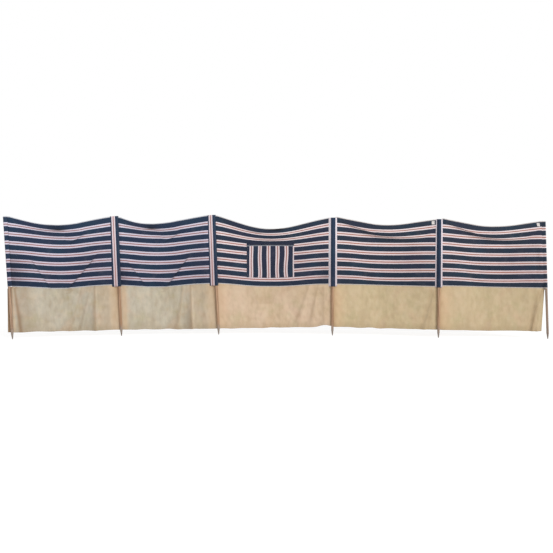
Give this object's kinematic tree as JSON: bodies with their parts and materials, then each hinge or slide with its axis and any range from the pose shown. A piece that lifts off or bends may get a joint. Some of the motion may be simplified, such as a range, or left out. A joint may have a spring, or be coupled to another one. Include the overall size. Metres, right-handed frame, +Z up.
{
  "type": "beach windbreak",
  "caption": "Long canvas beach windbreak on pointed wooden poles, with horizontal stripes, sagging top edges, a plain ground flap and a patch pocket.",
  "frame": {"origin": "centre of the blunt end of the upright fourth pole, where it meets the ground", "axes": "+X along the row of poles, to the right as seen from the side with the casings and the pocket; -Y out of that side; +Z up along the fourth pole"},
  "size_m": [6.2144, 0.4389, 1.4389],
  "materials": {
    "pole_wood": "bare turned wood, weathered grey at the tips",
    "striped_canvas": "woven cotton canvas, navy with white and rust lines",
    "plain_canvas": "plain natural canvas",
    "white_tape": "woven cotton tape"
  },
  "bodies": {
    "root": {"pole_1": "pole_wood", "pole_2": "pole_wood", "pole_3": "pole_wood", "pole_4": "pole_wood", "pole_5": "pole_wood", "pole_6": "pole_wood", "pole_casing_2": "striped_canvas", "pole_casing_3": "striped_canvas", "pole_casing_4": "striped_canvas", "pole_casing_5": "striped_canvas", "left_end_hem": "striped_canvas", "right_end_hem": "striped_canvas", "striped_panel_1": "striped_canvas", "top_hem_1": "striped_canvas", "seam_tape_1": "white_tape", "ground_flap_1": "plain_canvas", "flap_hem_1": "plain_canvas", "striped_panel_2": "striped_canvas", "top_hem_2": "striped_canvas", "seam_tape_2": "white_tape", "ground_flap_2": "plain_canvas", "flap_hem_2": "plain_canvas", "striped_panel_3": "striped_canvas", "top_hem_3": "striped_canvas", "seam_tape_3": "white_tape", "ground_flap_3": "plain_canvas", "flap_hem_3": "plain_canvas", "striped_panel_4": "striped_canvas", "top_hem_4": "striped_canvas", "seam_tape_4": "white_tape", "ground_flap_4": "plain_canvas", "flap_hem_4": "plain_canvas", "striped_panel_5": "striped_canvas", "top_hem_5": "striped_canvas", "seam_tape_5": "white_tape", "ground_flap_5": "plain_canvas", "flap_hem_5": "plain_canvas", "pocket": "striped_canvas", "pocket_hem": "striped_canvas", "tape_tab_4": "white_tape", "tape_tab_5": "white_tape"}
  },
  "joints": []
}
